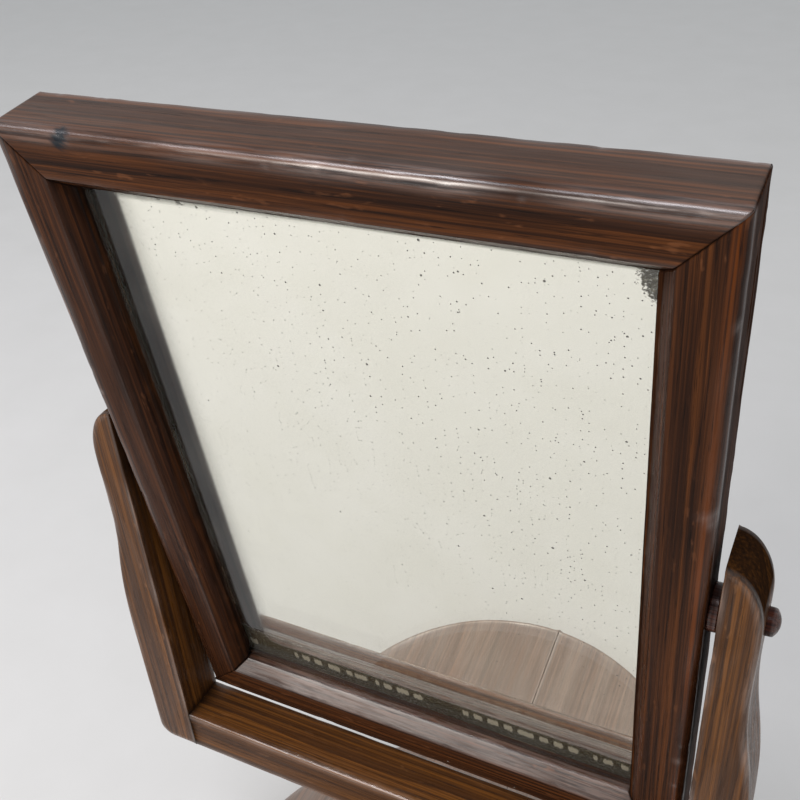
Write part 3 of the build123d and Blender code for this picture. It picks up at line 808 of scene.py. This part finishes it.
def slab_levels(z_low, z_high, soft_low, soft_high):
    """Height, inset and nearness to a worn edge of each ring of a slab, from the lower face up."""
    turns = np.linspace(math.pi / 2, 0, 6)

    def rim(z, soft, way):
        rows = [(z, soft + inset, near) for inset, near in CAP_RINGS]
        return rows + [(z + way * soft * (1 - math.sin(t)), soft * (1 - math.cos(t)), 1.0) for t in turns]

    start, end = z_low + soft_low.max(), z_high - soft_high.max()
    count = max(2, round((end - start) / STEP))
    side = [(start + (end - start) * k / count, 0 * soft_low, 0.0) for k in range(1, count)]
    return rim(z_low, soft_low, 1) + side + rim(z_high, soft_high, -1)[::-1]


def slab(node, outline, z_low, z_high, axes, soft_low, soft_high, keep, extra, seed, heart, wobble):
    """Board with the given outline in X and Y, its edges rounded by soft_low and soft_high.

    keep holds an inset outline clear of itself at sharp corners, and extra gives more masks.
    """
    normals, count = outward(outline), len(outline)
    levels = slab_levels(z_low, z_high, soft_low, soft_high)
    rings = []
    for z, inset, _ in levels:
        flat = keep(outline - normals * inset[:, None], inset.min(), inset.max())
        rings.append(np.column_stack([flat, np.broadcast_to(z, (count,))]))
    vertices, faces = loft(np.array(rings))
    worn = np.repeat([near for _, _, near in levels], count)
    on_cap = np.isin(worn, [near for _, near in CAP_RINGS])
    skin = np.tile(np.column_stack([normals, np.zeros(count)]), (len(levels), 1))
    rubbed = 0.2 * worn * np.maximum(noise(vertices, 9, seed + 1), 0)
    inward = np.where(on_cap, 0, wobble * (noise(vertices, 24, seed) + 1) + rubbed)
    moved = vertices - skin * inward[:, None]
    wear = np.clip(worn * (0.5 + 0.6 * noise(vertices, 22, seed + 2)), 0, 1)
    return piece(node, moved, faces, axes, heart, wear=wear, **extra(vertices))


def plate(width, height, z_front, z_back, step):
    """Vertices and faces of a closed flat plate, with both its faces divided into squares."""
    xs = np.linspace(-width / 2, width / 2, round(width / step))
    ys = np.linspace(-height / 2, height / 2, round(height / step))
    front = np.array([(x, y, z_front) for y in ys for x in xs])
    nx, ny, total = len(xs), len(ys), len(front)
    faces = []
    for j, i in itertools.product(range(ny - 1), range(nx - 1)):
        quad = (j * nx + i, j * nx + i + 1, (j + 1) * nx + i + 1, (j + 1) * nx + i)
        faces.append(quad)
        faces.append(tuple(total + k for k in quad[::-1]))
    rim = list(range(nx)) + [j * nx + nx - 1 for j in range(1, ny)]
    rim += [(ny - 1) * nx + i for i in range(nx - 2, -1, -1)] + [j * nx for j in range(ny - 2, 0, -1)]
    faces += [(b, a, total + a, total + b) for a, b in zip(rim, rim[1:] + rim[:1])]
    return np.vstack([front, front + (0, 0, z_back - z_front)]), faces


def paper_scraps(x, from_bottom, rough):
    """Scraps of the old edge paper, left in a row behind the bare strip."""
    spacing, half_length = 9.5, 3.1
    row = np.exp(-((from_bottom - 9.6 - 0.4 * rough) / 3.4) ** 2)
    gaps = noise(np.column_stack([x, 0 * x, 0 * x]), spacing, 75)
    squares = np.abs(np.mod(x + 4 * gaps, spacing) - spacing / 2) < half_length
    return 0.95 * row * squares * smooth_step(gaps, -0.45, -0.1)


def silver_masks(vertices, width, height):
    """Where the silver is bare, dull along the margins, or foxed, and where paper clings behind it."""
    x, y = vertices[:, 0], vertices[:, 1]
    rough = noise(vertices, 7, 71) + 0.6 * noise(vertices, 2.6, 72)
    from_left, from_right = x + width / 2, width / 2 - x
    from_top, from_bottom = y + height / 2, height / 2 - y

    strip = smooth_step(from_bottom + 0.35 * rough, 16.6, 14.2)
    right_corner = smooth_step(np.hypot(from_right - 4, (from_top - 8) * 0.62) + 1.6 * rough, 14.5, 8.0)
    left_corner = smooth_step(np.hypot(from_left - 6, from_bottom - 8) + 2.5 * rough, 19.0, 13.0)
    spotted = smooth_step(from_top, 15.5, 13.5) * smooth_step(-x, 40, 60)
    edge_spots = 0.62 * spotted * smooth_step(noise(vertices, 2.4, 73), 0.1, 0.5)
    top_width = 12.2 - 1.4 * (x / width)
    top_margin = smooth_step(from_top + 0.08 * rough, top_width + 0.6, top_width - 0.6)
    left_margin = 0.55 * smooth_step(from_left + 0.2 * rough, 26, 12)
    return {
        "bare": np.clip(0.75 * strip + 0.74 * right_corner + 0.8 * left_corner + edge_spots, 0, 1),
        "margin": np.maximum(top_margin, left_margin),
        "foxing": 0.62 + 0.4 * smooth_step(x - y, -60, 160) + 0.2 * noise(vertices, 40, 74),
        "scraps": paper_scraps(x, from_bottom, rough),
    }


def make_glass():
    """Glass and silvering fill the rebate, and are seen through the frame's opening."""
    play = GLASS_REBATE - GLASS_PLAY
    width = FRAME_WIDTH - 2 * SIGHT_SIDE + 2 * play
    height = FRAME_HEIGHT - SIGHT_TOP - SIGHT_BOTTOM + 2 * play
    middle = (SIGHT_BOTTOM + FRAME_HEIGHT - SIGHT_TOP) / 2
    axes = FRAME_AXES @ axes_of((0, 0, middle), (1, 0, 0), (0, 0, -1))
    vertices, faces = plate(width, height, LIP_DEPTH, GLASS_BACK - SILVER_GAP, GLASS_STEP)
    piece("mirror_glass", vertices, faces, axes)
    vertices, faces = plate(width, height, GLASS_BACK, SILVER_BACK, SILVER_STEP)
    piece("mirror_silvering", vertices, faces, axes, **silver_masks(vertices, width, height))


# ---- Turnings ----

def turning(node, profile, axes, seed, heart=(0, 0, 0), hollow=None, dents=()):
    """Turned piece about X. profile holds (x, radius, edge) rows, and hollow is the radius of a bore."""
    around = 72
    profile = np.array(profile, float)
    if hollow:
        first, last = profile[0, 0], profile[-1, 0]
        profile = np.vstack([profile, (last, hollow, 0), (first, hollow, 0)])
    rings = np.array([ring_at(x, circle(radius, around)) for x, radius, _ in profile])
    vertices, faces = loft(rings, closed=bool(hollow))
    edge = np.repeat(profile[:, 2], around)
    outside = np.repeat(profile[:, 1] > (hollow or 0) + 0.01, around)
    spokes = vertices * (0, 1, 1)
    lengths = np.maximum(np.linalg.norm(spokes, axis=1, keepdims=True), 0.3)
    worn = 0.05 * (noise(vertices, 14, seed) + 1)
    worn += 0.18 * edge * np.maximum(noise(vertices, 5, seed + 1), 0)
    worn += 0.9 * bumps(vertices, dents, [1.7] * len(dents))
    moved = vertices - spokes / lengths * (worn * outside)[:, None]
    wear = np.clip(edge * (0.6 + 0.5 * noise(vertices, 12, seed + 2)), 0, 1)
    # grooves and the cove are darkened: dirt and painted shade
    dirt = np.clip(np.repeat(profile[:, 2] < -0.5, around) * 0.8, 0, 1)
    return piece(node, moved, faces, axes, heart, wear=wear, dirt=dirt)


def disc_edge(x, radius, soft, side, steps=5):
    """Rounded rim of a turned end, from its face to its side, or back when side is -1."""
    turns = np.linspace(0, math.pi / 2, steps)
    rim = [(x + soft * (1 - math.sin(t)), radius - soft * (1 - math.cos(t)), 1.0) for t in turns[::-1]]
    if side > 0:
        return rim
    return [(2 * x - a, r, e) for a, r, e in rim[::-1]]


def peg(node, sign, dents):
    """Peg glued into a stile, with a domed knob outside the upright."""
    start = FRAME_WIDTH / 2 - PEG_IN_STILE
    shaft = max(abs(low(node).x), abs(high(node).x)) - start - PEG_DOME
    sphere = (PEG_RADIUS ** 2 + PEG_DOME ** 2) / (2 * PEG_DOME)
    profile = disc_edge(0, PEG_RADIUS, soft=0.5, side=1)
    profile += [(x, PEG_RADIUS, 0.0) for x in np.linspace(2, shaft - 1.2, 14)]
    profile.append((shaft - 0.3, PEG_RADIUS - 0.05, 0.6))
    for turn in np.linspace(math.asin(PEG_RADIUS / sphere) - 0.03, 0.03, 14):
        rise = sphere * math.cos(turn) - (sphere - PEG_DOME)
        profile.append((shaft + rise, sphere * math.sin(turn), 0.5 if turn > 0.5 else 0.2))
    axes = axes_of((sign * start, 0, PIVOT.z), (sign, 0, 0), (0, 1, 0))
    turning(node, profile, axes, seed=51 + sign, heart=(0, 30 * sign, 14), dents=dents)


def collar(node, sign):
    """Washer round a peg, between the frame and the upright."""
    start = min(abs(low(node).x), abs(high(node).x))
    width = high(node).x - low(node).x
    profile = disc_edge(0, COLLAR_RADIUS, soft=0.7, side=1)
    profile += [(width / 2, COLLAR_RADIUS, 0.1)]
    profile += disc_edge(width, COLLAR_RADIUS, soft=0.7, side=-1)
    axes = axes_of((sign * start, 0, PIVOT.z), (sign, 0, 0), (0, 1, 0))
    turning(node, profile, axes, seed=57 + sign, heart=(0, 22, 18 * sign), hollow=PEG_RADIUS)


def make_pivots():
    for name, sign, dents in (("left", -1, ()), ("right", 1, ((37.5, 4.8, -4.4),))):
        peg(name + "_pivot_peg", sign, dents)
        collar(name + "_collar", sign)


def curve(points, count):
    """Points along a Bezier curve."""
    rows = np.array(points, float)
    made = []
    for t in np.linspace(0, 1, count):
        level = rows
        while len(level) > 1:
            level = level[:-1] * (1 - t) + level[1:] * t
        made.append(level[0])
    return made


def make_column():
    """Turned column: wide foot, cove, vase between two beads, and a cap under the rail."""
    height = POST_BOTTOM - BASE_TOP
    foot, cove, neck, vase, cap = 32.0, 26.0, 11.5, 19.5, 15.4
    foot_top, lower_bead, vase_middle, upper_bead, cap_low = 8.0, 25.0, 54.0, 107.0, 129.0
    bead_length, bead_swell = 6.0, 2.8

    def bead(start, radius, length, swell):
        rises = [(t, math.sin(math.pi * t)) for t in np.linspace(0.03, 0.97, 12)]
        return [(start + length * t, radius + swell * rise, 0.9 * rise) for t, rise in rises]

    def swelling(start, start_radius, end, end_radius):
        middle = (start + end) / 2
        corners = [(start, start_radius), (middle, start_radius), (middle, end_radius), (end, end_radius)]
        return [(x, radius, 0.0) for x, radius in curve(corners, 22)]

    def groove(x):
        return [(x, neck, -1.0)]

    profile = [(0.0, foot - 1.5, 0.0)]
    profile += bead(0, foot, foot_top, 2.0)
    profile += [(foot_top, cove + 0.6, -1.0), (foot_top + 0.4, cove, -1.0), (foot_top + 2, cove, 0.6)]
    hollow = [(foot_top + 2, cove), (foot_top + 3, cove - 10), (foot_top + 8, neck), (lower_bead, neck)]
    profile += [(x, radius, 0.0) for x, radius in curve(hollow, 18)[1:-1]]
    profile += groove(lower_bead - 0.3)
    profile += bead(lower_bead, neck, bead_length, bead_swell)
    profile += groove(lower_bead + bead_length + 0.3)
    profile += swelling(lower_bead + bead_length + 0.6, neck, vase_middle, vase)
    profile += swelling(vase_middle, vase, upper_bead - 0.6, neck)[1:]
    profile += groove(upper_bead - 0.3)
    profile += bead(upper_bead, neck, bead_length, bead_swell)
    profile += groove(upper_bead + bead_length + 0.3)
    profile += swelling(upper_bead + bead_length + 0.6, neck, cap_low, cap)
    profile += [(cap_low + 1.5, cap, 0.3), (height - 3, cap, 0.2)]
    profile += disc_edge(height, cap, soft=0.8, side=-1)
    turning("column", profile, axes_of((0, 0, BASE_TOP), (0, 0, 1), (1, 0, 0)), seed=61, heart=(0, 9, 6))


# ---- Yoke ----

def upright_outline():
    """Outline of an upright: height along X, distance out from its inside face along Y."""
    shoulder = POST_TOP - POST_SHOULDER_DROP
    turns = np.linspace(0, math.pi / 2, 26)[1:]
    top = [(shoulder + POST_SHOULDER_DROP * math.cos(t), POST_TOP_THICKNESS * math.sin(t)) for t in turns]
    ogee = curve([
        (OGEE_TOP, POST_TOP_THICKNESS), (OGEE_MIDDLE, POST_TOP_THICKNESS),
        (OGEE_MIDDLE, POST_FOOT_THICKNESS), (OGEE_BOTTOM, POST_FOOT_THICKNESS)
    ], 44)
    centre = (POST_BOTTOM + POST_FOOT_RADIUS, POST_FOOT_THICKNESS - POST_FOOT_RADIUS)
    foot = [(centre[0] - POST_FOOT_RADIUS * math.sin(t), centre[1] + POST_FOOT_RADIUS * math.cos(t))
            for t in np.linspace(0, math.pi / 2, 12)]
    corners = [(POST_BOTTOM, 0), (POST_TOP, 0)] + top + ogee + foot
    outline, _ = rounded([(x, y, 0) for x, y in corners])
    return outline


def make_uprights():
    """Two shaped uprights on the ends of the cross rail, bored for the pegs."""
    outline = upright_outline()
    soft = np.where(outline[:, 1] < 0.01, 0.5, 1.5)
    depth = YOKE_DEPTH / 2

    def keep(flat, inside_offset, outside_offset):
        heights = np.clip(flat[:, 0], POST_BOTTOM + outside_offset, POST_TOP - outside_offset)
        return np.column_stack([heights, np.maximum(flat[:, 1], inside_offset)])

    def grime_and_shade(vertices):
        # dirt on the crown; dirt and painted shade where the upright meets the rail and round the peg
        height, on_inside = vertices[:, 0], vertices[:, 1] < 0.6
        foot = smooth_step(height, RAIL_TOP + 7, RAIL_TOP - 1) * on_inside
        rub = np.exp(-((height - PIVOT.z) / 13) ** 2) * on_inside
        crown = smooth_step(height, POST_TOP - 30, POST_TOP - 16) * (np.abs(vertices[:, 2]) < depth - 0.6)
        return {"dirt": np.clip(0.6 * foot + 0.5 * rub + 0.6 * crown, 0, 1)}

    for name, sign, seed in (("left", -1, 81), ("right", 1, 87)):
        axes = axes_of((sign * POST_INSIDE, 0, 0), (0, 0, 1), (sign, 0, 0))
        post = slab(name + "_upright", outline, -depth, depth, axes, soft, soft, keep, grime_and_shade, seed,
                    heart=(-200 * sign, 64, 40 * sign), wobble=0.08)
        bore(post, sign)


def make_cross_rail():
    """Bar between the uprights, nicked along its edges and dark in its joints."""
    half_depth, half_height = YOKE_DEPTH / 2, (RAIL_TOP - POST_BOTTOM) / 2
    signs = ((-1, -1), (1, -1), (1, 1), (-1, 1))
    section, edge = rounded([(sy * half_depth, sz * half_height, RAIL_EDGE) for sy, sz in signs])
    places = stations(POST_INSIDE - 0.02, 0.3)
    vertices, faces = loft(np.array([ring_at(x, section) for x in places]))
    near = np.tile(edge, len(places))
    skin = np.column_stack([np.zeros(len(vertices)), np.tile(outward(section), (len(places), 1))])
    nicked = nicks(vertices, vertices[near > 0.9], seed=93, count=22, smallest=1.0, largest=2.6)
    inward = 0.06 * (noise(vertices, 30, 91) + 1) + 0.25 * near * np.maximum(noise(vertices, 10, 92), 0)
    inward += 0.2 * np.minimum(nicked, 2)
    joint = np.exp(-(POST_INSIDE - np.abs(vertices[:, 0])) / 3.0)
    wear = near * (0.7 + 0.6 * noise(vertices, 25, 94)) + 0.4 * np.minimum(nicked, 1)
    axes = axes_of((0, 0, POST_BOTTOM + half_height), (1, 0, 0), (0, 1, 0))
    moved = vertices - skin * inward[:, None]
    piece("cross_rail", moved, faces, axes, (260, -52, -74), wear=np.clip(wear, 0, 1), dirt=0.8 * joint)


def bore(post, sign):
    """Cut the peg's hole through an upright."""
    rim = circle(BORE_RADIUS, 64) + (0, PIVOT.z)
    ends = (POST_INSIDE - BORE_OVERRUN, POST_INSIDE + POST_TOP_THICKNESS + BORE_OVERRUN)
    vertices, faces = loft(np.array([ring_at(sign * x, rim) for x in ends]))
    mesh = bpy.data.meshes.new("bore")
    mesh.from_pydata((vertices * MM).tolist(), [], faces)
    mend(mesh)
    cutter = add_object("bore", mesh)
    cut = post.modifiers.new("bore", "BOOLEAN")
    cut.operation, cut.solver, cut.object = "DIFFERENCE", "EXACT", cutter
    bpy.context.view_layer.update()
    whole = post.data
    bored = bpy.data.meshes.new_from_object(post.evaluated_get(bpy.context.evaluated_depsgraph_get()))
    bored.set_sharp_from_angle(angle=SHARP_EDGE)
    post.modifiers.clear()
    post.data = bored
    bpy.data.objects.remove(cutter)
    bpy.data.meshes.remove(mesh)
    bpy.data.meshes.remove(whole)


# ---- Base ----

def base_board(node, sign, seed):
    """Half-round board. Its grain runs front to back: its X is the row's +Y, and its Y is the row's -X."""
    limit = math.acos(BASE_JOINT_X / BASE_RADIUS)
    turns = np.linspace(-limit, limit, 150) if sign > 0 else np.linspace(limit, 2 * math.pi - limit, 158)
    arc = [(BASE_RADIUS * math.sin(t), -BASE_RADIUS * math.cos(t), 0) for t in turns]
    outline, _ = rounded(arc, BASE_STEP)
    straight = np.abs(outline[:, 1] + BASE_JOINT_X) < 0.05
    outline[:, 1] -= np.where(straight, sign * BASE_JOINT_GAP, 0)

    def upper(vertices):
        # the top face is greyed: dust and a painted sheen
        return {"haze": smooth_step(vertices[:, 2], BASE_TOP - 3, BASE_TOP)}

    def keep(flat, joint_offset, rim_offset):
        reach = np.linalg.norm(flat, axis=1, keepdims=True)
        flat = flat * np.minimum(1, (BASE_RADIUS - rim_offset) / reach)
        from_joint = np.maximum(-sign * (flat[:, 1] + BASE_JOINT_X), joint_offset)
        return np.column_stack([flat[:, 0], -sign * from_joint - BASE_JOINT_X])

    slab(node, outline, BASE_BOTTOM, BASE_TOP, axes_of((0, 0, 0), (0, 1, 0), (-1, 0, 0)),
         np.where(straight, 0.3, BASE_BOTTOM_EDGE), np.where(straight, 0.4, BASE_TOP_EDGE), keep, upper,
         seed, heart=(300 * sign, 46 + 30 * sign, -120), wobble=0.06)


def make_base():
    for name, sign, seed in (("left", -1, 101), ("right", 1, 107)):
        base_board(name + "_base_board", sign, seed)


def make_pads():
    """Felt discs, pressed thinner at the rim."""
    box_low, box_high = low("felt_pads"), high("felt_pads")
    rim = circle(PAD_RADIUS, 48)
    top = box_high.z
    profile = [(0.3, 0.0), (0.93, 0.0), (0.985, 0.25), (1.0, 0.8), (1.0, 1.5), (0.985, top), (0.3, top)]
    centres = itertools.product(
        (box_low.x + PAD_RADIUS, box_high.x - PAD_RADIUS), (box_low.y + PAD_RADIUS, box_high.y - PAD_RADIUS)
    )
    vertices, faces = np.zeros((0, 3)), []
    for centre in centres:
        rings = [np.column_stack([rim * share + centre, np.full(len(rim), z)]) for share, z in profile]
        made, new_faces = loft(np.array(rings))
        fuzz = np.abs(noise(made, 1.3, 121))[:, None] * (0.12, 0.12, 0) * (made[:, 2:] > 0.1)
        faces += [tuple(len(vertices) + k for k in face) for face in new_faces]
        vertices = np.vstack([vertices, made - fuzz * np.sign(made - (*centre, 0))])
    piece("felt_pads", vertices, faces, Matrix.Identity(4))


make_frame()
make_glass()
make_pivots()
make_column()
make_uprights()
make_cross_rail()
make_base()
make_pads()
for node, part in frame["nodes"].items():
    part.data.materials.clear()
    part.data.materials.append(MATERIALS[SLOT_OF[node]])


# ---- Floor, light and camera ----

FLOOR_HALF, FLOOR_CELLS = 6.0, 24
SKY_COLOUR, SKY_STRENGTH = rgb(0.93, 0.96, 1.0), 0.58
# the camera stands above and to the right of the mirror, and looks down into it
CAMERA_PLACE = Vector((0.1831, -0.3273, 0.7174))
CAMERA_YAW, CAMERA_PITCH, CAMERA_ROLL = math.radians(-28.209), math.radians(33.391), math.radians(-4.191)
CAMERA_LENS, CAMERA_SENSOR = 45.27, 36.0


def make_floor():
    line = np.linspace(-FLOOR_HALF, FLOOR_HALF, FLOOR_CELLS + 1)
    row = len(line)
    corners = itertools.product(range(FLOOR_CELLS), repeat=2)
    mesh = bpy.data.meshes.new("floor")
    mesh.from_pydata(
        [(x, y, 0.0) for y in line for x in line], [],
        [(j * row + i, j * row + i + 1, (j + 1) * row + i + 1, (j + 1) * row + i) for j, i in corners],
    )
    mesh.materials.append(floor_finish())
    add_object("floor", mesh)


def area_light(name, place, target, size, power, tint):
    data = bpy.data.lights.new(name, "AREA")
    data.shape, data.size, data.size_y = "RECTANGLE", size[0], size[1]
    data.energy, data.color = power, tint
    light = add_object(name, data)
    light.location = place
    light.rotation_euler = (Vector(target) - Vector(place)).to_track_quat("-Z", "Y").to_euler()


def make_light():
    world = bpy.data.worlds.new("studio")
    world.use_nodes = True
    back = world.node_tree.nodes["Background"]
    back.inputs["Color"].default_value = SKY_COLOUR
    back.inputs["Strength"].default_value = SKY_STRENGTH
    bpy.context.scene.world = world
    bpy.context.scene.view_settings.view_transform = "Standard"
    area_light(
        "softbox_front", place=(-0.9, -1.9, 1.6), target=(0, -0.15, 0.2), size=(0.9, 0.5), power=22,
        tint=(1.0, 0.95, 0.89)
    )
    area_light(
        "softbox_above", place=(-0.85, -0.75, 2.3), target=(-0.85, -0.1, 0.3), size=(2.4, 0.3), power=27,
        tint=(0.98, 0.95, 1.0)
    )


def make_camera():
    cos_yaw, sin_yaw = math.cos(CAMERA_YAW), math.sin(CAMERA_YAW)
    cos_pitch, sin_pitch = math.cos(CAMERA_PITCH), math.sin(CAMERA_PITCH)
    forward = Vector((sin_yaw * cos_pitch, cos_yaw * cos_pitch, -sin_pitch))
    right = Vector((cos_yaw, -sin_yaw, 0))
    up = right.cross(forward)
    rolled_right = math.cos(CAMERA_ROLL) * right + math.sin(CAMERA_ROLL) * up
    rolled_up = math.cos(CAMERA_ROLL) * up - math.sin(CAMERA_ROLL) * right
    data = bpy.data.cameras.new("camera")
    data.sensor_width, data.lens = CAMERA_SENSOR, CAMERA_LENS
    data.clip_start = 0.01
    camera = add_object("camera", data)
    turned = Matrix((rolled_right, rolled_up, -forward)).transposed().to_4x4()
    camera.matrix_world = Matrix.Translation(CAMERA_PLACE) @ turned
    bpy.context.scene.camera = camera


make_floor()
make_light()
make_camera()
